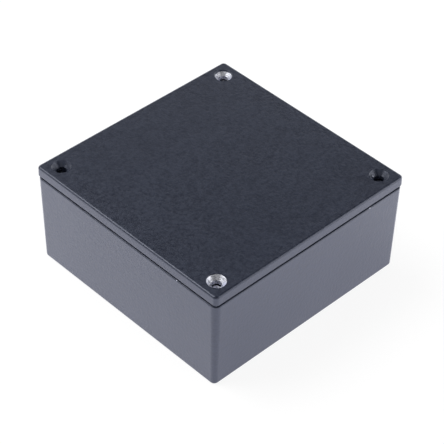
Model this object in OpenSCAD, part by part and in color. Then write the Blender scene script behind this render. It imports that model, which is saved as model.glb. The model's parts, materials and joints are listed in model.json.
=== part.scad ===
// Die cast aluminium box with a screw-down lid.
// Two castings: a drafted box body with four corner pillars, and a lid whose rim laps
// over a tongue on the body. Millimetres, +Z up, origin at the centre of the base.

/* [Overall size] */
// Length along X, at the joint between the body and the lid
box_l = 120; // [80:1:200]
// Width along Y, at the joint
box_w = 120; // [80:1:200]
// Height of the closed box
box_h = 55; // [35:0.5:120]

/* [Body casting] */
// Wall thickness
wall = 2.6; // [2:0.1:3.2]
// Floor thickness
floor_t = 2.6; // [2:0.1:4]
// Draft of the castings, in degrees
draft = 1.1; // [0.5:0.1:1.5]
// Radius of the upright outer corners at the base
corner_r = 2.4; // [1.6:0.1:3]
// Radius of the upright inner corners at the floor
cavity_r = 2.4; // [2:0.1:3]
// Radius round the outside of the base
base_r = 1.2; // [0.6:0.1:1.5]
// Radius on the outer edge of the body's mouth
mouth_r = 0.6; // [0.3:0.1:0.8]
// Fillet between the floor and the walls inside
floor_fillet = 1.5; // [0.8:0.1:1.9]

/* [Lid casting] */
// Height of the lid's rim, from the joint to the top
rim_h = 6.1; // [5:0.1:8]
// Thickness of the lid's plate
plate_t = 2.6; // [2:0.1:3.2]
// Radius of the lid's upright corners at the joint
lid_corner_r = 2.2; // [1.8:0.1:3.6]
// Radius on the lid's top edge
lid_top_r = 1.1; // [0.5:0.1:1.5]
// Radius on the lid's bottom edge
lid_foot_r = 0.2; // [0.2:0.1:0.4]
// Fillet between the plate and the rim inside
lid_fillet = 0.5; // [0.3:0.1:0.8]

/* [Lap joint] */
// Thickness of the tongue on the body
tongue_t = 1; // [0.8:0.1:1.2]
// Side clearance between the tongue and the lid's rim
lap_gap = 0.2; // [0.1:0.05:0.3]
// Clearance between the top of the tongue and the lid's plate
tongue_top_gap = 0.9; // [0.5:0.1:1.2]
// Height of the groove left open outside the joint
groove_h = 1.2; // [0.5:0.1:1.4]
// Depth of the groove
groove_d = 1; // [0.5:0.1:1.1]

/* [Screws] */
// Diameter of the pillars at their tops and of the bosses under the lid
boss_d = 9.6; // [8:0.1:14]
// Clearance between the bosses and the tongue
boss_clear = 0.9; // [0.3:0.1:4]
// How far the pillars stand above the joint
pillar_rise = 1.1; // [0.5:0.1:1.3]
// Step between each pillar and the sides of its webs
web_step = 0.5; // [0.3:0.1:1.5]
// Gap between each boss and its pillar
boss_gap = 0.8; // [0.3:0.1:1]
// Diameter of the clearance holes in the lid
screw_hole_d = 4.8; // [3.4:0.1:5.4]
// Diameter of the countersinks
countersink_d = 9.2; // [7:0.1:10]
// Angle of the countersinks, in degrees
countersink_angle = 90; // [80:1:120]
// Drilled diameter of the tapped holes
tap_drill_d = 3.3; // [2.5:0.1:4.2]
// Diameter of the chamfer at their mouths
tap_mouth_d = 4.4; // [4.3:0.1:5.4]
// Depth of the tapped holes
tap_depth = 18; // [8:1:40]

/* [Hidden] */
$fn = 96;
arc_steps = 6;
over = 1;
coat = [0.13, 0.135, 0.155];
drill_point_angle = 118;

joint_z = box_h - rim_h;
plate_z = box_h - plate_t;
tongue_top_z = plate_z - tongue_top_gap;
pillar_top_z = joint_z + pillar_rise;
boss_foot_z = pillar_top_z + boss_gap;
screw_inset = wall + boss_clear + boss_d / 2;
screw_x = box_l / 2 - screw_inset;
screw_y = box_w / 2 - screw_inset;

// Radii of the upright corners at the height of the joint.
body_joint_r = micron(corner_r + joint_z * tan(draft));
cavity_joint_r = micron(cavity_r + (joint_z - floor_t) * tan(draft));
tongue_r = body_joint_r - wall + tongue_t;
hollow_r = tongue_r + lap_gap;

// Half sections, as points [distance outward from the corner axes, height]. Each starts
// and ends on the corner axes, and its wall leans outwards going up by the angle lean.
body_half = concat(
    [[0, 0]],
    lower_edge(body_joint_r, 0, draft, base_r),
    upper_edge(body_joint_r, joint_z, draft, mouth_r),
    [[tongue_r, joint_z], [tongue_r, tongue_top_z], [0, tongue_top_z]]
);
cavity_half = concat(
    [[0, floor_t]],
    lower_edge(cavity_joint_r, floor_t, draft, floor_fillet),
    [
        [wall_at(cavity_joint_r, tongue_top_z + over, draft), tongue_top_z + over],
        [0, tongue_top_z + over]
    ]
);
lid_half = concat(
    [
        [0, joint_z],
        [lid_corner_r - groove_d, joint_z],
        [lid_corner_r - groove_d, joint_z + groove_h]
    ],
    lower_edge(lid_corner_r, joint_z + groove_h, -draft, lid_foot_r),
    upper_edge(lid_corner_r, box_h, -draft, lid_top_r),
    [[0, box_h]]
);
hollow_half = concat(
    [[0, joint_z - over], [hollow_r, joint_z - over]],
    upper_edge(hollow_r, plate_z, 0, lid_fillet),
    [[0, plate_z]]
);

// Rounds a size to a thousandth, so that the pieces of a block meet exactly.
function micron(size) = round(size * 1000) / 1000;

// Points along an arc about c, from angle a to angle b.
function arc(c, r, a, b) =
    [for (i = [0:arc_steps]) let (t = a + (b - a) * i / arc_steps) c + r * [cos(t), sin(t)]];

// Where a wall that is r out at the joint stands at height z.
function wall_at(r, z, lean) = r + (z - joint_z) * tan(lean);

// The round lower edge of such a wall, of radius f, with its foot at height z.
function lower_edge(r, z, lean, f) =
    arc([wall_at(r, z + f, lean) - f / cos(lean), z + f], f, -90, -lean);

// The round upper edge of such a wall, of radius f, with its top at height z.
function upper_edge(r, z, lean, f) =
    arc([wall_at(r, z - f, lean) - f / cos(lean), z - f], f, -lean, 90);

// A block whose outline at the joint is length by width, with corners of radius r there.
// The half section runs straight along the four sides and turns about the corner axes.
module swept_block(length, width, r, half) {
    x = length / 2 - r;
    y = width / 2 - r;
    low = half[0][1];
    high = half[len(half) - 1][1];
    translate([-x, -y, low]) cube([2 * x, 2 * y, high - low]);
    at_sides(x, y)
        rotate([90, 0, 0]) linear_extrude(2 * $along, center = true) polygon(half);
    at_corners(x, y) rotate_extrude(angle = 90) polygon(half);
}

// Places its children on the four sides of a rectangle of half sizes x and y, turned so
// that +X points outwards. $along is half the length of the side.
module at_sides(x, y) {
    for (turn = [0:3]) {
        $along = turn % 2 == 0 ? y : x;
        rotate(90 * turn) translate([turn % 2 == 0 ? x : y, 0, 0]) children();
    }
}

// Places its children at its corners, turned so that +X +Y points out of the corner.
module at_corners(x, y) {
    for (turn = [0:3])
        rotate(90 * turn) translate(turn % 2 == 0 ? [x, y] : [y, x]) children();
}

// A pillar with webs to both walls, wider towards the floor for draft. It stands on the
// screw axis and runs out past the cavity's corner.
module pillar() {
    rise = pillar_top_z;
    spread = rise * tan(draft);
    web = boss_d / 2 - web_step;
    cylinder(h = rise, d1 = boss_d + 2 * spread, d2 = boss_d);
    for (side = [0, 1])
        mirror([side, -side, 0])
            translate([0, screw_inset, 0])
                rotate([90, 0, 0])
                    linear_extrude(screw_inset)
                        polygon([
                            [-web - spread, 0],
                            [screw_inset, 0],
                            [screw_inset, rise],
                            [-web, rise]
                        ]);
}

// The blind hole in a pillar, at the drilled size of its thread.
module tapped_hole() {
    r = tap_drill_d / 2;
    mouth = tap_mouth_d / 2;
    bottom_z = pillar_top_z - tap_depth;
    rotate_extrude()
        polygon([
            [0, bottom_z - r / tan(drill_point_angle / 2)],
            [r, bottom_z],
            [r, pillar_top_z - (mouth - r)],
            [mouth, pillar_top_z],
            [mouth, pillar_top_z + over],
            [0, pillar_top_z + over]
        ]);
}

// The countersunk hole through the lid.
module screw_hole() {
    r = screw_hole_d / 2;
    rim = countersink_d / 2;
    depth = (rim - r) / tan(countersink_angle / 2);
    rotate_extrude()
        polygon([
            [0, joint_z],
            [r, joint_z],
            [r, box_h - depth],
            [rim, box_h],
            [rim, box_h + over],
            [0, box_h + over]
        ]);
}

// A boss under the lid, run up into the plate.
module boss() {
    rise = box_h - boss_foot_z;
    translate([0, 0, boss_foot_z])
        cylinder(h = rise, d1 = boss_d, d2 = boss_d + 2 * rise * tan(draft));
}

module box_body() {
    color(coat)
        difference() {
            swept_block(box_l, box_w, body_joint_r, body_half);
            difference() {
                swept_block(box_l - 2 * wall, box_w - 2 * wall, cavity_joint_r, cavity_half);
                at_corners(screw_x, screw_y) pillar();
            }
            at_corners(screw_x, screw_y) tapped_hole();
        }
}

module lid() {
    rim_t = wall - tongue_t - lap_gap;
    color(coat)
        difference() {
            swept_block(box_l, box_w, lid_corner_r, lid_half);
            difference() {
                swept_block(box_l - 2 * rim_t, box_w - 2 * rim_t, hollow_r, hollow_half);
                at_corners(screw_x, screw_y) boss();
            }
            at_corners(screw_x, screw_y) screw_hole();
        }
}

box_body();
lid();
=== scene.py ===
"""Dresses the die cast aluminium box: two black powder coated castings under soft light.

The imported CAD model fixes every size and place. The body and the lid are modelled again
here with finer edges, rounded as the coat leaves them, and take the places of their nodes.
"""

from __future__ import annotations

import json
import logging
import math
from collections.abc import Callable, Sequence
from dataclasses import dataclass, replace
from enum import Enum

import bpy
from mathutils import Matrix, Vector


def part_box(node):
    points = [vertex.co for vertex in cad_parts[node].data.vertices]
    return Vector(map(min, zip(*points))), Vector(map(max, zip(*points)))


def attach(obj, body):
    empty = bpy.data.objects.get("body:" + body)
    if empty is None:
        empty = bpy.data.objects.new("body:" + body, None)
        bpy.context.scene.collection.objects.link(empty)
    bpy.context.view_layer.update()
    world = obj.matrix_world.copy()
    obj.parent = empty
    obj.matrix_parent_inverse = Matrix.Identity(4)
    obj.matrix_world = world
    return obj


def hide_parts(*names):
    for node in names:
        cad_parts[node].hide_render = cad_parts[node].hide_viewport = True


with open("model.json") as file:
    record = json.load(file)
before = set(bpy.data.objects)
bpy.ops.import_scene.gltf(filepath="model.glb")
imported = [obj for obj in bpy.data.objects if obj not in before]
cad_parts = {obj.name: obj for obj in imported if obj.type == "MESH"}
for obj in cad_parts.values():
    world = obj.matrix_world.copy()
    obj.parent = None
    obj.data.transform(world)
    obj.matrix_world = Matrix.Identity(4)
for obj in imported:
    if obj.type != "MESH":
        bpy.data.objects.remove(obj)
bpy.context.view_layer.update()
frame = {"record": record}

LOG = logging.getLogger("die_cast_box")
MM = 0.001
NEAR = 0.01 * MM  # points this close count as lying on a level
MERGE = NEAR / 10  # points this close are made one
OVER = 1.0 * MM  # how far a cutting tool runs past what it cuts
QUARTER_CIRCLE = 0.5  # the profile of a round bevel
CORNER_STEPS = 12  # the steps of an upright corner
POST_SIDES = 64
SINK_SIDES = 96
TAP_SIDES = 48
SMOOTH_ANGLE = math.radians(32)  # sharper edges than this stay sharp
LEVEL = 0.9  # a face whose normal rises this far lies level
BODY = "root"

Place = Callable[[Vector], bool]
Tint = tuple[float, float, float]
Corner = tuple[int, int]


# --------------------------------------------------------------------------- modelling


class Part(Enum):
    """What an edit mode selection is made of."""

    POINTS = "VERT"
    EDGES = "EDGE"
    FACES = "FACE"


def on_level(z: float) -> Place:
    """Tests whether a point lies at height z."""
    return lambda p: abs(p.z - z) < NEAR


class Workpiece:
    """One mesh object, shaped with Blender's own modelling operators.

    Attributes:
        obj: The Blender object being shaped.
    """

    def __init__(self, obj: bpy.types.Object, name: str) -> None:
        """Takes over an object that a primitive operator has just added.

        Args:
            obj: The new object.
            name: The name it is to carry.
        """
        self.obj = obj
        obj.name = name
        obj.data.name = name
        self.settle()

    @classmethod
    def plate(cls, name: str, length: float, width: float, z: float, up: bool) -> Workpiece:
        """Adds a flat rectangle centred on the Z axis.

        Args:
            name: The object's name.
            length: Its size along X.
            width: Its size along Y.
            z: Its height.
            up: Whether it faces up or down.

        Returns:
            The new workpiece.
        """
        cls.select_nothing()
        turn = 0.0 if up else math.pi
        bpy.ops.mesh.primitive_plane_add(size=1.0, location=(0, 0, z), rotation=(turn, 0, 0))
        obj = bpy.context.object
        obj.scale = (length, width, 1.0)
        return cls(obj, name)

    @classmethod
    def post(
        cls, name: str, x: float, y: float, low: float, high: float, radius: float, sides: int
    ) -> Workpiece:
        """Adds an upright cylinder.

        Args:
            name: The object's name.
            x: Its axis along X.
            y: Its axis along Y.
            low: The height of its foot.
            high: The height of its top.
            radius: Its radius.
            sides: How many sides it has.

        Returns:
            The new workpiece.
        """
        cls.select_nothing()
        middle = (x, y, (low + high) / 2)
        bpy.ops.mesh.primitive_cylinder_add(
            vertices=sides, radius=radius, depth=high - low, location=middle
        )
        return cls(bpy.context.object, name)

    @classmethod
    def block(cls, name: str, low: Sequence[float], high: Sequence[float]) -> Workpiece:
        """Adds a box from its lowest corner to its highest.

        Args:
            name: The object's name.
            low: The lowest corner.
            high: The highest corner.

        Returns:
            The new workpiece.
        """
        cls.select_nothing()
        middle = [(a + b) / 2 for a, b in zip(low, high)]
        bpy.ops.mesh.primitive_cube_add(size=1.0, location=middle)
        obj = bpy.context.object
        obj.scale = [b - a for a, b in zip(low, high)]
        return cls(obj, name)

    @staticmethod
    def select_nothing() -> None:
        """Deselects every object, so that an operator acts on the new one alone."""
        if bpy.context.object and bpy.context.object.mode != "OBJECT":
            bpy.ops.object.mode_set(mode="OBJECT")
        bpy.ops.object.select_all(action="DESELECT")

    def hold(self) -> None:
        """Makes this the only selected object and the active one."""
        self.select_nothing()
        self.obj.select_set(True)
        bpy.context.view_layer.objects.active = self.obj

    def settle(self) -> None:
        """Moves the object's place, turn and scale into its mesh."""
        self.hold()
        bpy.ops.object.transform_apply(location=True, rotation=True, scale=True)

    def pick(self, part: Part, place: Place) -> None:
        """Selects every point, edge or face whose points all pass a test, in edit mode.

        Args:
            part: Which of them are selected.
            place: The test that each of their points passes.
        """
        self.hold()
        bpy.ops.object.mode_set(mode="EDIT")
        bpy.ops.mesh.select_mode(type=part.value)
        bpy.ops.mesh.select_all(action="DESELECT")
        bpy.ops.object.mode_set(mode="OBJECT")
        mesh = self.obj.data
        found = [place(v.co) for v in mesh.vertices]
        groups = {
            Part.POINTS: mesh.vertices,
            Part.EDGES: mesh.edges,
            Part.FACES: mesh.polygons,
        }[part]
        for item in groups:
            ends = [item.index] if part is Part.POINTS else item.vertices
            item.select = all(found[i] for i in ends)
        bpy.ops.object.mode_set(mode="EDIT")

    @staticmethod
    def done() -> None:
        """Leaves edit mode."""
        bpy.ops.object.mode_set(mode="OBJECT")

    def round_outline(self, radius: float, steps: int) -> None:
        """Rounds the four corners of a flat plate.

        Args:
            radius: The corner radius.
            steps: How many steps each quarter turn has.
        """
        self.pick(Part.POINTS, lambda p: True)
        bpy.ops.mesh.bevel(
            affect="VERTICES", offset=radius, segments=steps, profile=QUARTER_CIRCLE
        )
        self.done()

    def draw_out(self, z: float, depth: float, lean: float) -> None:
        """Draws the face at height z along its normal into leaning walls.

        Args:
            z: The height of the face.
            depth: How far the face moves along its normal.
            lean: How far its outline moves inwards.
        """
        self.pick(Part.FACES, on_level(z))
        bpy.ops.mesh.inset(thickness=lean, depth=depth, use_even_offset=True)
        self.done()

    def step_in(self, z: float, inset: float, rise: float) -> None:
        """Insets the face at height z and moves what is inside it straight up or down.

        Args:
            z: The height of the face.
            inset: The width of the ledge that stays.
            rise: How far the rest moves along Z.
        """
        self.pick(Part.FACES, on_level(z))
        bpy.ops.mesh.inset(thickness=inset, depth=0.0, use_even_offset=True)
        bpy.ops.mesh.extrude_region_move(TRANSFORM_OT_translate={"value": (0, 0, rise)})
        self.done()

    def cap(self, z: float) -> None:
        """Closes the open outline at height z and turns all faces outwards."""
        self.pick(Part.EDGES, on_level(z))
        bpy.ops.mesh.edge_face_add()
        bpy.ops.mesh.select_all(action="SELECT")
        bpy.ops.mesh.normals_make_consistent(inside=False)
        self.done()

    def round_edges(self, place: Place, radius: float, steps: int) -> None:
        """Rounds the edges whose points pass a test.

        Args:
            place: The test for both ends of an edge.
            radius: The radius of the new edge.
            steps: How many steps the round has.
        """
        self.pick(Part.EDGES, place)
        bpy.ops.mesh.bevel(
            affect="EDGES", offset=radius, segments=steps, profile=QUARTER_CIRCLE,
            clamp_overlap=True,
        )
        self.done()

    def widen(self, z: float, factor: float, x: float, y: float) -> None:
        """Scales the points at height z about an upright axis.

        Args:
            z: The height of the points.
            factor: The scale.
            x: The axis along X.
            y: The axis along Y.
        """
        self.pick(Part.POINTS, on_level(z))
        bpy.ops.transform.resize(value=(factor, factor, 1.0), center_override=(x, y, z))
        self.done()

    def raise_face(self, z: float, rise: float, factor: float, x: float, y: float) -> None:
        """Extrudes the face at height z and scales its new end about an upright axis.

        Args:
            z: The height of the face.
            rise: How far its new end lies above it.
            factor: The scale of the new end.
            x: The axis along X.
            y: The axis along Y.
        """
        self.pick(Part.FACES, on_level(z))
        bpy.ops.mesh.extrude_region_move(TRANSFORM_OT_translate={"value": (0, 0, rise)})
        bpy.ops.transform.resize(value=(factor, factor, 1.0), center_override=(x, y, z + rise))
        self.done()

    def take(self, others: Sequence[Workpiece], how: str) -> None:
        """Adds other workpieces to this one or cuts them from it, and deletes them.

        Args:
            others: The workpieces that are used up.
            how: The Boolean modifier's operation.
        """
        for other in others:
            self.hold()
            bpy.ops.object.modifier_add(type="BOOLEAN")
            cut = self.obj.modifiers[-1]
            cut.operation = how
            cut.solver = "EXACT"
            cut.object = other.obj
            bpy.ops.object.modifier_apply(modifier=cut.name)
            bpy.data.objects.remove(other.obj, do_unlink=True)

    def smooth(self) -> None:
        """Shades the round edges smooth and keeps the flats flat."""
        self.hold()
        bpy.ops.object.mode_set(mode="EDIT")
        bpy.ops.mesh.select_all(action="SELECT")
        bpy.ops.mesh.remove_doubles(threshold=MERGE)
        bpy.ops.object.mode_set(mode="OBJECT")
        bpy.ops.object.shade_smooth_by_angle(angle=SMOOTH_ANGLE)
        bpy.ops.object.modifier_add(type="WEIGHTED_NORMAL")
        weigh = self.obj.modifiers[-1]
        weigh.keep_sharp = True
        weigh.mode = "FACE_AREA"
        weigh.weight = 100
        bpy.ops.object.modifier_apply(modifier=weigh.name)


# --------------------------------------------------------------------------- shader maths


class Wire:
    """A value in a shader, which adds its own Math nodes when it is used in arithmetic.

    Attributes:
        shop: The shader that the value belongs to.
        socket: The output that gives it.
    """

    def __init__(self, shop: Shader, socket: bpy.types.NodeSocket | None) -> None:
        """Wraps a node's output.

        Args:
            shop: The shader that the node belongs to.
            socket: The output.
        """
        self.shop = shop
        self.socket = socket

    def math(self, operation: str, *others: Wire | float) -> Wire:
        """Adds a Math node with this value first.

        Args:
            operation: The node's operation.
            others: Its other values.

        Returns:
            The result.
        """
        values = dict(enumerate((self, *others)))
        return self.shop.node("ShaderNodeMath", {"operation": operation}, values)

    def __add__(self, other: Wire | float) -> Wire:
        """Adds."""
        return self.math("ADD", other)

    __radd__ = __add__

    def __mul__(self, other: Wire | float) -> Wire:
        """Multiplies."""
        return self.math("MULTIPLY", other)

    __rmul__ = __mul__

    def __sub__(self, other: Wire | float) -> Wire:
        """Subtracts the other from this."""
        return self.math("SUBTRACT", other)

    def __rsub__(self, other: float) -> Wire:
        """Subtracts this from a number."""
        return (self * -1.0) + other

    def __truediv__(self, other: Wire | float) -> Wire:
        """Divides this by the other."""
        return self.math("DIVIDE", other)

    def ramp(self, low: float, high: float) -> Wire:
        """Eases the value from 0 at low to 1 at high.

        Args:
            low: Where it starts to rise.
            high: Where it reaches 1.

        Returns:
            The eased value.
        """
        setting = {"interpolation_type": "SMOOTHSTEP", "clamp": True}
        return self.shop.node(
            "ShaderNodeMapRange", setting, {"Value": self, "From Min": low, "From Max": high}
        )


Value = Wire | float | Sequence[float]


class Shader:
    """Builds the nodes of one material, or of the world.

    Attributes:
        material: The material or the world.
        tree: Its nodes.
    """

    def __init__(self, name: str, world: bpy.types.World | None = None) -> None:
        """Starts without nodes.

        Args:
            name: The name of the new material.
            world: The world, if the nodes are for it.
        """
        self.material = world or bpy.data.materials.new(name)
        self.material.use_nodes = True
        self.tree = self.material.node_tree
        self.tree.nodes.clear()

    def node(
        self, kind: str, settings: dict[str, object], values: dict[str | int, Value],
        out: int | str = 0,
    ) -> Wire:
        """Adds a node.

        Args:
            kind: The node's type.
            settings: Its settings, which are set first.
            values: Numbers, colours or links for its inputs.
            out: Which of its outputs is returned.

        Returns:
            The chosen output.
        """
        made = self.tree.nodes.new(kind)
        for key, setting in settings.items():
            setattr(made, key, setting)
        for key, value in values.items():
            target = made.inputs[key]
            if isinstance(value, Wire):
                self.tree.links.new(value.socket, target)
            else:
                target.default_value = value
        return Wire(self, made.outputs[out] if made.outputs else None)

    def place(self) -> Wire:
        """Returns the point on the surface, in the object's own metres."""
        return self.node("ShaderNodeTexCoord", {}, {}, out="Object")

    def split(self, vector: Wire) -> tuple[Wire, Wire, Wire]:
        """Splits a vector into its three parts."""
        parts = self.node("ShaderNodeSeparateXYZ", {}, {0: vector})
        outputs = parts.socket.node.outputs
        return parts, Wire(self, outputs[1]), Wire(self, outputs[2])

    def noise(self, place: Wire, size: float, detail: float = 2.0, roughness: float = 0.5) -> Wire:
        """Adds noise whose grains are about size across.

        Args:
            place: Where on the surface it is read.
            size: The size of its grains, in metres.
            detail: How many finer layers it has.
            roughness: How strong they are.

        Returns:
            The noise, about 0.5.
        """
        values = {
            "Vector": place, "Scale": 1.0 / size, "Detail": detail, "Roughness": roughness
        }
        return self.node("ShaderNodeTexNoise", {}, values)

    def measure(self, operation: str, first: Value, second: Value) -> Wire:
        """Adds a Vector Math node that makes one number of two vectors.

        Args:
            operation: The node's operation.
            first: The first vector.
            second: The second vector.

        Returns:
            The number.
        """
        setting = {"operation": operation}
        return self.node("ShaderNodeVectorMath", setting, {0: first, 1: second}, out="Value")

    def mix(self, factor: Wire, first: Value, second: Value) -> Wire:
        """Mixes two colours.

        The node has sockets of the same name for each kind of value, so they are numbered.

        Args:
            factor: How much of the second colour shows.
            first: The first colour.
            second: The second colour.

        Returns:
            The mixed colour.
        """
        values = {0: factor, 6: first, 7: second}
        return self.node("ShaderNodeMix", {"data_type": "RGBA"}, values, out=2)

    def bump(self, height: Wire, depth: float, under: Wire | None = None) -> Wire:
        """Bends the normal by a height.

        Args:
            height: The height, from 0 to 1.
            depth: What a height of 1 stands for, in metres.
            under: A normal that is already bent.

        Returns:
            The bent normal.
        """
        values: dict[str | int, Value] = {"Height": height, "Distance": depth, "Strength": 1.0}
        if under is not None:
            values["Normal"] = under
        return self.node("ShaderNodeBump", {}, values)

    def surface(self, values: dict[str | int, Value]) -> bpy.types.Material:
        """Finishes the material with a Principled shader.

        Args:
            values: The shader's inputs.

        Returns:
            The material.
        """
        shader = self.node("ShaderNodeBsdfPrincipled", {}, values)
        self.node("ShaderNodeOutputMaterial", {}, {"Surface": shader})
        return self.material


def colour(tint: Tint) -> tuple[float, float, float, float]:
    """Returns an opaque colour."""
    return (*tint, 1.0)


def grey(level: float) -> tuple[float, float, float, float]:
    """Returns an opaque grey."""
    return colour((level, level, level))


# --------------------------------------------------------------------------- finishes


@dataclass(frozen=True)
class Chip:
    """A spot where the coat has chipped off the metal.

    Attributes:
        place: Its middle.
        size: Its radius.
    """

    place: tuple[float, float, float]
    size: float


@dataclass(frozen=True)
class PowderCoat:
    """Black powder coat with a fine, slightly pebbled skin.

    Attributes:
        chips: Where it has chipped.
        dark: Its colour in the hollows of the pebbling and grain, darker there as painted shade,
            and at the dark end of the random clouds.
        light: Its colour on the crests of the pebbling and grain, lighter there as painted light,
            and at the light end of the random clouds.
        rough: Its middling roughness.
        spread: How far the roughness varies.
        pebble: The size of the pebbles.
        pebble_depth: How deep the pebbling is.
        grain: The size of the grain on them.
        grain_depth: How deep the grain is.
        clouds: The size of faint clouds in the coat.
        shares: How far the pebbles, the grain and the clouds each sway the colour; the pebbles and
            the grain paint shade into their own hollows.
        tones: Where between 0 and 1 that sway is all dark and all light.
        index: The coat's index of refraction.
        sheen: The tint of its reflections.
        ragged: The size of the notches round a chip.
        notched: How far they reach, as a share of the chip.
        chip_edge: How far from a chip's middle it starts to fade, as a share of the chip.
        metal: The colour of the metal in a chip.
        metal_rough: The roughness of that metal.
    """

    chips: tuple[Chip, ...]
    dark: Tint = (0.0138, 0.0176, 0.0320)
    light: Tint = (0.0247, 0.0312, 0.0530)
    rough: float = 0.355
    spread: float = 0.20
    pebble: float = 1.6 * MM
    pebble_depth: float = 0.068 * MM
    grain: float = 0.8 * MM
    grain_depth: float = 0.03 * MM
    clouds: float = 30 * MM
    shares: tuple[float, float, float] = (0.6, 0.15, 0.25)
    tones: tuple[float, float] = (0.3, 0.7)
    index: float = 1.63
    sheen: Tint = (0.80, 0.84, 1.0)
    ragged: float = 0.5 * MM
    notched: float = 0.8
    chip_edge: float = 0.7
    metal: Tint = (0.40, 0.41, 0.48)
    metal_rough: float = 0.45

    def worn(self, shader: Shader, place: Wire) -> Wire | float:
        """Returns how far the coat has chipped off, from 0 to 1."""
        notches = (shader.noise(place, self.ragged) - 0.5) * self.notched
        worn: Wire | float = 0.0
        for chip in self.chips:
            apart = shader.measure("DISTANCE", place, chip.place)
            spot = 1 - (apart / chip.size + notches).ramp(self.chip_edge, 1.0)
            worn = spot.math("MAXIMUM", worn)
        return worn

    def values(self, shader: Shader) -> dict[str | int, Value]:
        """Builds the coat's nodes.

        Args:
            shader: The shader they go into.

        Returns:
            The Principled shader's inputs.
        """
        place = shader.place()
        pebble = shader.noise(place, self.pebble)
        grain = shader.noise(place, self.grain, roughness=0.6)
        clouds = shader.noise(place, self.clouds, detail=3.0)
        by_pebble, by_grain, by_clouds = self.shares
        # painted shade: the colour is darker in the hollows of the pebbling and grain that the
        # bump makes, and varies at random with the clouds
        tone = (pebble * by_pebble + grain * by_grain + clouds * by_clouds).ramp(*self.tones)
        skin = shader.bump(pebble, self.pebble_depth)
        paint = shader.mix(tone, colour(self.dark), colour(self.light))
        rough = self.rough + (pebble - 0.5) * self.spread
        worn = self.worn(shader, place)
        return {
            "Base Color": shader.mix(worn, paint, colour(self.metal)),
            "Metallic": worn,
            "Roughness": rough + (self.metal_rough - rough) * worn,
            "IOR": self.index,
            "Specular Tint": colour(self.sheen),
            "Normal": shader.bump(grain, self.grain_depth, under=skin),
        }

    def material(self, name: str) -> bpy.types.Material:
        """Builds the plain coated finish under a name."""
        shader = Shader(name)
        return shader.surface(self.values(shader))


@dataclass(frozen=True)
class BareHole:
    """A hole cut through the coat into bare cast aluminium.

    Attributes:
        coat: The coat that creeps over the hole's rim.
        axis_x: The distance of the screw axes from the middle along X.
        axis_y: The distance of the screw axes from the middle along Y.
        rim: The radius at which the coat ends.
        tint: The metal's colour.
        dull_and_ring_shade: Its colour where the cut has dulled, and the painted shade in the
            hollows of the tool's rings.
        deep: Its colour in the drilled part.
        rough: Its roughness.
        dull_rough: How much rougher its dull patches are.
        ring_rough: How much rougher the tool's rings are in their hollows.
        bore_rough: How much rougher the drilled part is.
        feed: The spacing of the tool's rings.
        ring_depth: How deep the rings are.
        ring_shade: How far their hollows take the stain's colour.
        wobble: How far the rings wander, in rings.
        creep: How far the coat's edge wanders.
        waves: The size of the waves in that edge.
        edge: The width over which the coat or the drilled part ends.
        patches: The size of the dull patches.
        patch_edge: Where in the noise a patch starts and where it is fully dull.
        bore: The radius inside which the hole is drilled and not countersunk.
        oxide: How far oxide has dulled the drilled part.
    """

    coat: PowderCoat
    axis_x: float
    axis_y: float
    rim: float
    tint: Tint = (0.70, 0.71, 0.765)
    dull_and_ring_shade: Tint = (0.32, 0.325, 0.365)
    deep: Tint = (0.85, 0.86, 0.95)
    rough: float = 0.37
    dull_rough: float = 0.2
    ring_rough: float = 0.06
    bore_rough: float = 0.2
    feed: float = 0.55 * MM
    ring_depth: float = 0.04 * MM
    # ring_shade: How far the hollows of the tool's rings are darkened towards dull_and_ring_shade,
    # as painted shade.
    ring_shade: float = 0.35
    wobble: float = 1.5
    creep: float = 0.4 * MM
    waves: float = 2.0 * MM
    edge: float = 0.1 * MM
    patches: float = 1.1 * MM
    patch_edge: tuple[float, float] = (0.52, 0.74)
    bore: float = 2.45 * MM
    oxide: float = 0.2

    def radius(self, shader: Shader, place: Wire) -> Wire:
        """Returns the distance from the nearest screw axis."""
        x, y, _ = shader.split(place)
        along_x = x.math("ABSOLUTE") - self.axis_x
        along_y = y.math("ABSOLUTE") - self.axis_y
        return (along_x * along_x + along_y * along_y).math("SQRT")

    def material(self, name: str) -> bpy.types.Material:
        """Builds the finish's nodes.

        Args:
            name: The material's name.

        Returns:
            The material.
        """
        shader = Shader(name)
        coat = self.coat.values(shader)
        place = shader.place()
        wander = shader.noise(place, self.waves)
        reach = self.radius(shader, place)
        coat_edge = reach + (wander - 0.5) * self.creep
        bare = 1 - coat_edge.ramp(self.rim - NEAR, self.rim + self.edge)
        drilled = 1 - reach.ramp(self.bore - self.edge, self.bore)
        rings = (reach / self.feed + wander * self.wobble) * math.tau
        groove = rings.math("SINE") * 0.5 + 0.5
        dull = shader.noise(place, self.patches, detail=3.0).ramp(*self.patch_edge)
        cut = shader.mix(dull, colour(self.tint), colour(self.dull_and_ring_shade))
        # painted shade: the hollows of the tool's rings are darkened in colour as well as bumped
        turned = shader.mix(groove * self.ring_shade, cut, colour(self.dull_and_ring_shade))
        metal = shader.mix(drilled, turned, colour(self.deep))
        metal_rough = (
            self.rough + dull * self.dull_rough + groove * self.ring_rough
            + drilled * self.bore_rough
        )
        return shader.surface({
            **coat,
            "Base Color": shader.mix(bare, coat["Base Color"], metal),
            "Metallic": (bare * (1 - drilled * self.oxide)).math("MAXIMUM", coat["Metallic"]),
            "Roughness": metal_rough * bare + coat["Roughness"] * (1 - bare),
            "Normal": shader.bump(groove * bare, self.ring_depth, under=coat["Normal"]),
        })


class HoleFinish(Enum):
    """How a countersink is finished, as the number of its material slot."""

    COATED = 0
    BARE = 1
    CREPT = 2


Finishes = dict[Corner, HoleFinish]
Materials = dict[HoleFinish, bpy.types.Material]


# --------------------------------------------------------------------------- the castings


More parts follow.
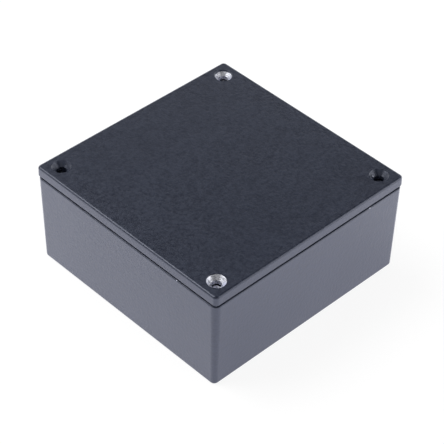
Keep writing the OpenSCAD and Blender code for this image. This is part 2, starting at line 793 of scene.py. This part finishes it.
@dataclass
class Sizes:
    """Sizes that both castings share, in metres.

    Attributes:
        length: Length along X at the joint.
        width: Width along Y at the joint.
        joint: Height of the joint between the castings.
        top: Height of the lid's face.
        screw_x: Distance of the screw axes from the middle along X.
        screw_y: Distance of the screw axes from the middle along Y.
        draft: Draft of the castings, in radians.
        wall: Wall thickness of the body.
        tongue: Thickness of the body's tongue.
        lap: Side clearance between the tongue and the lid.
        boss_radius: Radius of the pillars and the bosses.
    """

    length: float
    width: float
    joint: float
    top: float
    screw_x: float
    screw_y: float
    draft: float = math.radians(1.1)
    wall: float = 2.6 * MM
    tongue: float = 1.0 * MM
    lap: float = 0.2 * MM
    boss_radius: float = 4.8 * MM

    @classmethod
    def from_frame(cls) -> Sizes:
        """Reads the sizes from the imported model.

        Returns:
            The sizes.
        """
        low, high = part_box("lid")
        mounts = {m["name"]: m for m in frame["record"]["mounts"]}
        dims = mounts["cover_screw_holes"]["dims"]
        return cls(
            length=round(high.x - low.x, 4),
            width=round(high.y - low.y, 4),
            joint=low.z,
            top=high.z,
            screw_x=dims["spacing_x_mm"] * MM / 2,
            screw_y=dims["spacing_y_mm"] * MM / 2,
        )

    def corners(self) -> list[tuple[float, float]]:
        """Returns the four screw axes."""
        return [(sx * self.screw_x, sy * self.screw_y) for sx in (-1, 1) for sy in (-1, 1)]

    def nearest_hole(self, point: Vector) -> tuple[Corner, float]:
        """Finds the screw hole nearest to a point.

        Args:
            point: The point.

        Returns:
            The signs of the hole's X and Y, and the point's distance from its axis.
        """
        corner = (1 if point.x > 0 else -1, 1 if point.y > 0 else -1)
        return corner, math.hypot(abs(point.x) - self.screw_x, abs(point.y) - self.screw_y)


@dataclass
class Lid:
    """The lid: a flat plate with a rim, four bosses and four countersunk holes.

    Attributes:
        sizes: The sizes shared with the body.
        corner: Radius of the upright corners.
        brow: Radius of the top edge.
        foot: Radius of the bottom edge.
        plate: Thickness of the plate.
        groove_height: Height of the groove left open outside the joint.
        groove_depth: Depth of the groove.
        boss_foot: Height of the bosses' ends above the joint.
        hole_radius: Radius of the screw holes.
        sink_radius: Radius of the countersinks.
    """

    sizes: Sizes
    corner: float = 2.2 * MM
    brow: float = 1.1 * MM
    foot: float = 0.2 * MM
    plate: float = 2.6 * MM
    groove_height: float = 1.2 * MM
    groove_depth: float = 1.0 * MM
    boss_foot: float = 1.9 * MM
    hole_radius: float = 2.4 * MM
    sink_radius: float = 4.6 * MM

    def build(self) -> Workpiece:
        """Models the lid.

        Returns:
            The finished workpiece.
        """
        s = self.sizes
        low = s.joint + self.groove_height
        height = s.top - low
        lean = math.tan(s.draft)
        spare = self.groove_height * lean
        lid = Workpiece.plate(
            "lid_casting", s.length - 2 * spare, s.width - 2 * spare, low, up=True
        )
        lid.round_outline(self.corner - spare, CORNER_STEPS)
        lid.draw_out(low, depth=height, lean=height * lean)
        lid.cap(low)
        lid.round_edges(on_level(low), self.foot, steps=3)
        lid.step_in(low, inset=self.groove_depth - spare - self.foot, rise=-self.groove_height)
        rim = s.wall - s.tongue - s.lap
        lid.step_in(s.joint, inset=rim - self.groove_depth, rise=s.top - s.joint - self.plate)
        lid.round_edges(on_level(s.top), self.brow, steps=6)
        lid.take([self.boss(x, y) for x, y in s.corners()], "UNION")
        lid.take([self.drill(x, y) for x, y in s.corners()], "DIFFERENCE")
        lid.smooth()
        return lid

    def boss(self, x: float, y: float) -> Workpiece:
        """Models a boss under the lid.

        Args:
            x: Its axis along X.
            y: Its axis along Y.

        Returns:
            The boss, run up into the plate.
        """
        s = self.sizes
        low = s.joint + self.boss_foot
        high = s.top - self.plate / 2
        post = Workpiece.post("boss", x, y, low, high, s.boss_radius, POST_SIDES)
        post.widen(high, 1 + (high - low) * math.tan(s.draft) / s.boss_radius, x, y)
        return post

    def drill(self, x: float, y: float) -> Workpiece:
        """Models the tool that cuts a countersunk hole.

        Args:
            x: Its axis along X.
            y: Its axis along Y.

        Returns:
            The tool.
        """
        s = self.sizes
        depth = self.sink_radius - self.hole_radius
        shoulder = s.top - depth
        tool = Workpiece.post("drill", x, y, s.joint, shoulder, self.hole_radius, SINK_SIDES)
        tool.raise_face(shoulder, depth, self.sink_radius / self.hole_radius, x, y)
        tool.raise_face(s.top, OVER, 1.0, x, y)
        return tool

    def dress(self, lid: Workpiece, finishes: Finishes, materials: Materials) -> None:
        """Coats the lid and leaves the chosen holes bare.

        Args:
            lid: The lid.
            finishes: The finish of each hole, by the signs of its X and Y.
            materials: The material of each finish.
        """
        mesh = lid.obj.data
        mesh.materials.clear()
        for finish in HoleFinish:
            mesh.materials.append(materials[finish])
        for face in mesh.polygons:
            corner, away = self.sizes.nearest_hole(face.center)
            inside = away < self.sink_radius and abs(face.normal.z) < LEVEL
            face.material_index = (finishes[corner] if inside else HoleFinish.COATED).value


@dataclass
class BoxBody:
    """The body: drafted walls and a floor, a tongue round its mouth and four pillars.

    Attributes:
        sizes: The sizes shared with the lid.
        base_corner: Radius of the upright corners at the base.
        base_round: Radius round the outside of the base.
        mouth_round: Radius on the outer edge of the mouth.
        floor: Thickness of the floor.
        floor_round: Fillet between the floor and the walls.
        cavity_corner: Radius of the upright inner corners at the floor.
        tongue_rise: Height of the tongue above the joint.
        pillar_rise: Height of the pillars above the joint.
        web_step: Step between a pillar and the sides of its webs.
        tap_radius: Radius of the tapped holes.
        tap_mouth: Radius of the chamfer at their mouths.
        tap_depth: Depth of the tapped holes.
    """

    sizes: Sizes
    base_corner: float = 2.4 * MM
    base_round: float = 1.2 * MM
    mouth_round: float = 0.6 * MM
    floor: float = 2.6 * MM
    floor_round: float = 1.5 * MM
    cavity_corner: float = 2.4 * MM
    tongue_rise: float = 2.6 * MM
    pillar_rise: float = 1.1 * MM
    web_step: float = 0.5 * MM
    tap_radius: float = 1.65 * MM
    tap_mouth: float = 2.2 * MM
    tap_depth: float = 18.0 * MM

    def build(self) -> Workpiece:
        """Models the body.

        Returns:
            The finished workpiece.
        """
        s = self.sizes
        lean = s.joint * math.tan(s.draft)
        body = Workpiece.plate("body_casting", s.length, s.width, s.joint, up=False)
        body.round_outline(self.base_corner + lean, CORNER_STEPS)
        body.draw_out(s.joint, depth=s.joint, lean=lean)
        body.cap(s.joint)
        body.round_edges(on_level(0.0), self.base_round, steps=6)
        body.round_edges(on_level(s.joint), self.mouth_round, steps=4)
        body.step_in(s.joint, inset=s.wall - s.tongue - self.mouth_round, rise=self.tongue_rise)
        body.take([self.core()], "DIFFERENCE")
        body.take([self.tap(x, y) for x, y in s.corners()], "DIFFERENCE")
        body.smooth()
        return body

    def core(self) -> Workpiece:
        """Models the core that leaves the inside of the body, with the pillars cut out of it.

        Returns:
            The core.
        """
        s = self.sizes
        top = s.joint + self.tongue_rise + OVER
        lean = (top - self.floor) * math.tan(s.draft)
        spare = (self.tongue_rise + OVER) * math.tan(s.draft) - s.wall
        core = Workpiece.plate("core", s.length + 2 * spare, s.width + 2 * spare, top, up=False)
        core.round_outline(self.cavity_corner + lean, CORNER_STEPS)
        core.draw_out(top, depth=top - self.floor, lean=lean)
        core.cap(top)
        core.round_edges(on_level(self.floor), self.floor_round, steps=5)
        for x, y in s.corners():
            core.take(self.pillar(x, y), "DIFFERENCE")
        return core

    def pillar(self, x: float, y: float) -> list[Workpiece]:
        """Models a corner pillar and its webs to both walls.

        Args:
            x: Its axis along X.
            y: Its axis along Y.

        Returns:
            The round pillar and the two webs.
        """
        s = self.sizes
        high = s.joint + self.pillar_rise
        spread = high * math.tan(s.draft)
        post = Workpiece.post("pillar", x, y, 0.0, high, s.boss_radius, POST_SIDES)
        post.widen(0.0, 1 + spread / s.boss_radius, x, y)
        web = s.boss_radius - self.web_step
        out_x, out_y = math.copysign(1, x), math.copysign(1, y)
        reach = s.length / 2 - s.screw_x
        return [
            post,
            self.web((x - out_x * web, x + out_x * reach), (y, y + out_y * reach), high),
            self.web((x, x + out_x * reach), (y - out_y * web, y + out_y * reach), high),
        ]

    @staticmethod
    def web(across: tuple[float, float], along: tuple[float, float], high: float) -> Workpiece:
        """Models one upright web.

        Args:
            across: Its two sides along X.
            along: Its two sides along Y.
            high: The height of its top.

        Returns:
            The web.
        """
        low = (min(across), min(along), 0.0)
        return Workpiece.block("web", low, (max(across), max(along), high))

    def tap(self, x: float, y: float) -> Workpiece:
        """Models the tool that drills and chamfers a tapped hole.

        Args:
            x: Its axis along X.
            y: Its axis along Y.

        Returns:
            The tool.
        """
        s = self.sizes
        high = s.joint + self.pillar_rise
        chamfer = self.tap_mouth - self.tap_radius
        shoulder = high - chamfer
        low = high - self.tap_depth
        tool = Workpiece.post("tap", x, y, low, shoulder, self.tap_radius, TAP_SIDES)
        tool.raise_face(shoulder, chamfer, self.tap_mouth / self.tap_radius, x, y)
        tool.raise_face(high, OVER, 1.0, x, y)
        return tool

    def dress(self, body: Workpiece, finishes: Finishes, materials: Materials) -> None:
        """Coats the body and leaves the threads and the chosen holes' mouths bare.

        Args:
            body: The body.
            finishes: The finish of each hole, by the signs of its X and Y.
            materials: The material of each finish.
        """
        mesh = body.obj.data
        mesh.materials.clear()
        for finish in (HoleFinish.COATED, HoleFinish.BARE):
            mesh.materials.append(materials[finish])
        for face in mesh.polygons:
            corner, away = self.sizes.nearest_hole(face.center)
            bare_mouth = finishes[corner] is not HoleFinish.COATED
            inside = away < (self.tap_mouth if bare_mouth else self.tap_radius + NEAR)
            bare = inside and face.center.z > self.floor
            face.material_index = (HoleFinish.BARE if bare else HoleFinish.COATED).value


# --------------------------------------------------------------------------- the studio


@dataclass(frozen=True)
class Lamp:
    """A soft rectangular light that faces the box.

    Attributes:
        name: Its name.
        azimuth: Where it stands, in degrees from -Y towards +X.
        elevation: Its height, in degrees.
        distance: How far it is from the box.
        size: Its width and height.
        glow: How bright it looks, where 1 is white.
        aim: The height of the point that it faces.
    """

    name: str
    azimuth: float
    elevation: float
    distance: float
    size: tuple[float, float]
    glow: float
    aim: float = 30 * MM

    def build(self) -> None:
        """Adds the light to the scene."""
        data = bpy.data.lights.new(self.name, "AREA")
        data.shape = "RECTANGLE"
        data.size, data.size_y = self.size
        data.energy = self.glow * math.pi * self.size[0] * self.size[1]
        lamp = bpy.data.objects.new(self.name, data)
        back = direction(self.azimuth, self.elevation)
        lamp.location = back * self.distance + Vector((0, 0, self.aim))
        lamp.rotation_euler = (-back).to_track_quat("-Z", "Y").to_euler()
        bpy.context.scene.collection.objects.link(lamp)


def direction(azimuth: float, elevation: float) -> Vector:
    """Returns the unit vector towards an azimuth and an elevation, in degrees."""
    a, e = math.radians(azimuth), math.radians(elevation)
    return Vector((math.sin(a) * math.cos(e), -math.cos(a) * math.cos(e), math.sin(e)))


@dataclass(frozen=True)
class View:
    """The camera.

    Attributes:
        azimuth: Where it stands, in degrees from -Y towards +X.
        elevation: Its height, in degrees.
        distance: How far it is from the point it looks at.
        roll: How far it is turned about its own axis, in degrees.
        aside: How far it is moved to its right and upwards.
        lens: Its focal length, in millimetres.
        sensor: The width of its sensor, in millimetres.
    """

    azimuth: float = 45.256
    elevation: float = 41.708
    distance: float = 829.075 * MM
    roll: float = 1.392
    aside: tuple[float, float] = (1.831 * MM, 17.554 * MM)
    lens: float = 139.70
    sensor: float = 36.0

    def build(self) -> None:
        """Adds the camera and makes it the scene's own."""
        data = bpy.data.cameras.new("camera")
        data.lens = self.lens
        data.sensor_width = self.sensor
        camera = bpy.data.objects.new("camera", data)
        back = direction(self.azimuth, self.elevation)
        right = (-back).cross(Vector((0, 0, 1))).normalized()
        up = right.cross(-back)
        turn = math.radians(self.roll)
        across = math.cos(turn) * right + math.sin(turn) * up
        over = -math.sin(turn) * right + math.cos(turn) * up
        camera.matrix_world = rotation_from(across, over, back)
        camera.location = back * self.distance + across * self.aside[0] + over * self.aside[1]
        bpy.context.scene.collection.objects.link(camera)
        bpy.context.scene.camera = camera


def rotation_from(x: Vector, y: Vector, z: Vector) -> Matrix:
    """Returns the turn whose columns are three given axes."""
    return Matrix((x, y, z)).transposed().to_4x4()


@dataclass(frozen=True)
class Studio:
    """A flat pale floor, a pale horizon that fades into a dark ceiling, and the lamps.

    Attributes:
        lamps: The lamps.
        horizon: The brightness of the horizon.
        ceiling: The sine of the elevation at which the horizon's light has faded.
        bias: How much brighter the horizon is on its bright side.
        bright_side: Where that side is, in degrees from -Y towards +X.
        floor_size: The size of the floor.
        floor_colour: The floor's colour, for the light that it throws back.
        floor_shade: Its colour as the camera sees it, which takes the box's shadow.
        floor_glow: How much brighter the camera sees the floor.
        mirrored_glow: How much brighter reflections see it under the box.
        mirrored_tone: The colour of that brightness.
        rise: How much it grows for each metre towards the back.
        reach: How far from the box it still grows.
        back_side: Where the back is, in degrees from -Y towards +X.
    """

    lamps: tuple[Lamp, ...]
    horizon: float = 2.1
    ceiling: float = 0.66
    bias: float = 0.8
    bright_side: float = 189.0
    floor_size: float = 6.0
    floor_colour: float = 0.9
    floor_shade: float = 0.19
    floor_glow: float = 0.88
    mirrored_glow: float = 1.26
    mirrored_tone: Tint = (0.96, 0.965, 1.09)
    rise: float = 1.9
    reach: float = 100 * MM
    back_side: float = 225.0

    def build(self) -> None:
        """Adds the floor, the room and the lamps."""
        self.build_floor()
        self.build_room()
        for lamp in self.lamps:
            lamp.build()

    def build_floor(self) -> None:
        """Adds the floor, which is drawn white and still takes the box's shadow."""
        Workpiece.select_nothing()
        bpy.ops.mesh.primitive_plane_add(size=self.floor_size, location=(0, 0, 0))
        floor = bpy.context.object
        floor.name = "floor"
        shader = Shader("floor")
        light_path = shader.node("ShaderNodeLightPath", {}, {})
        outputs = light_path.socket.node.outputs
        seen = Wire(shader, outputs["Is Camera Ray"])
        mirrored = Wire(shader, outputs["Is Glossy Ray"]).math(
            "MAXIMUM", Wire(shader, outputs["Is Transmission Ray"])
        )
        paint = shader.mix(seen, grey(self.floor_colour), grey(self.floor_shade))
        matt = shader.node("ShaderNodeBsdfDiffuse", {}, {"Color": paint})
        back = direction(self.back_side, 0.0)
        behind = shader.measure("DOT_PRODUCT", shader.place(), back)
        reach = behind.math("MINIMUM", self.reach).math("MAXIMUM", -self.reach)
        strength = seen * self.floor_glow + mirrored * (self.mirrored_glow + reach * self.rise)
        tone = shader.mix(seen, colour(self.mirrored_tone), grey(1.0))
        glow = shader.node("ShaderNodeEmission", {}, {"Color": tone, "Strength": strength})
        both = shader.node("ShaderNodeAddShader", {}, {0: matt, 1: glow})
        shader.node("ShaderNodeOutputMaterial", {}, {"Surface": both})
        floor.data.materials.append(shader.material)

    def build_room(self) -> None:
        """Adds the horizon's light, which fades towards the ceiling."""
        world = bpy.data.worlds.new("room")
        bpy.context.scene.world = world
        shader = Shader("room", world)
        way = shader.node("ShaderNodeTexCoord", {}, {})  # a world's first output is the direction
        _, _, height = shader.split(way)
        side = shader.measure("DOT_PRODUCT", way, direction(self.bright_side, 0.0))
        light = (1 - height.ramp(0.0, self.ceiling)) * (1 + side * self.bias) * self.horizon
        back = shader.node("ShaderNodeBackground", {}, {"Strength": light})
        shader.node("ShaderNodeOutputWorld", {}, {"Surface": back})


# --------------------------------------------------------------------------- the scene


LAMPS = (
    Lamp("top_box", azimuth=-62.0, elevation=54.0, distance=2.0, size=(1.6, 1.25), glow=4.8),
    Lamp("front_fill", azimuth=45.0, elevation=52.0, distance=2.2, size=(1.2, 1.0), glow=0.7),
    Lamp("side_panel", azimuth=132.2, elevation=27.0, distance=2.0, size=(0.66, 1.60), glow=2.6),
)

CHIPS = (
    Chip(place=(49.1 * MM, 50.6 * MM, 53.2 * MM), size=0.6 * MM),  # a countersink
    Chip(place=(35.4 * MM, -59.8 * MM, 48.7 * MM), size=0.3 * MM),  # the body's mouth
    Chip(place=(59.8 * MM, 37.3 * MM, 48.7 * MM), size=0.3 * MM),  # the body's mouth
)

HOLES: Finishes = {
    (1, -1): HoleFinish.BARE,
    (-1, 1): HoleFinish.CREPT,
    (-1, -1): HoleFinish.COATED,
    (1, 1): HoleFinish.COATED,
}


def mix_finishes(sizes: Sizes) -> Materials:
    """Builds the material of each finish.

    Args:
        sizes: The castings' sizes.

    Returns:
        The materials.
    """
    coat = PowderCoat(CHIPS)
    bare = BareHole(coat, sizes.screw_x, sizes.screw_y, rim=4.3 * MM)
    crept = replace(bare, rim=3.95 * MM, rough=0.45, oxide=0.35)
    return {
        HoleFinish.COATED: coat.material("powder_coat"),
        HoleFinish.BARE: bare.material("bare_hole"),
        HoleFinish.CREPT: crept.material("crept_hole"),
    }


def stand_for(piece: Workpiece, node: str) -> None:
    """Lets a finished piece take a CAD node's place.

    Args:
        piece: The piece.
        node: The node.
    """
    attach(piece.obj, BODY)
    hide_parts(node)
    LOG.info("%s: %d faces, for node %s", piece.obj.name, len(piece.obj.data.polygons), node)


def main() -> None:
    """Builds the studio and the two castings."""
    logging.basicConfig(level=logging.INFO, format="%(name)s: %(message)s")
    bpy.context.scene.view_settings.view_transform = "Standard"
    View().build()
    Studio(LAMPS).build()

    sizes = Sizes.from_frame()
    materials = mix_finishes(sizes)
    body = BoxBody(sizes)
    body_piece = body.build()
    body.dress(body_piece, HOLES, materials)
    stand_for(body_piece, "box_body")

    lid = Lid(sizes)
    lid_piece = lid.build()
    lid.dress(lid_piece, HOLES, materials)
    stand_for(lid_piece, "lid")


if __name__ == "__main__":
    main()
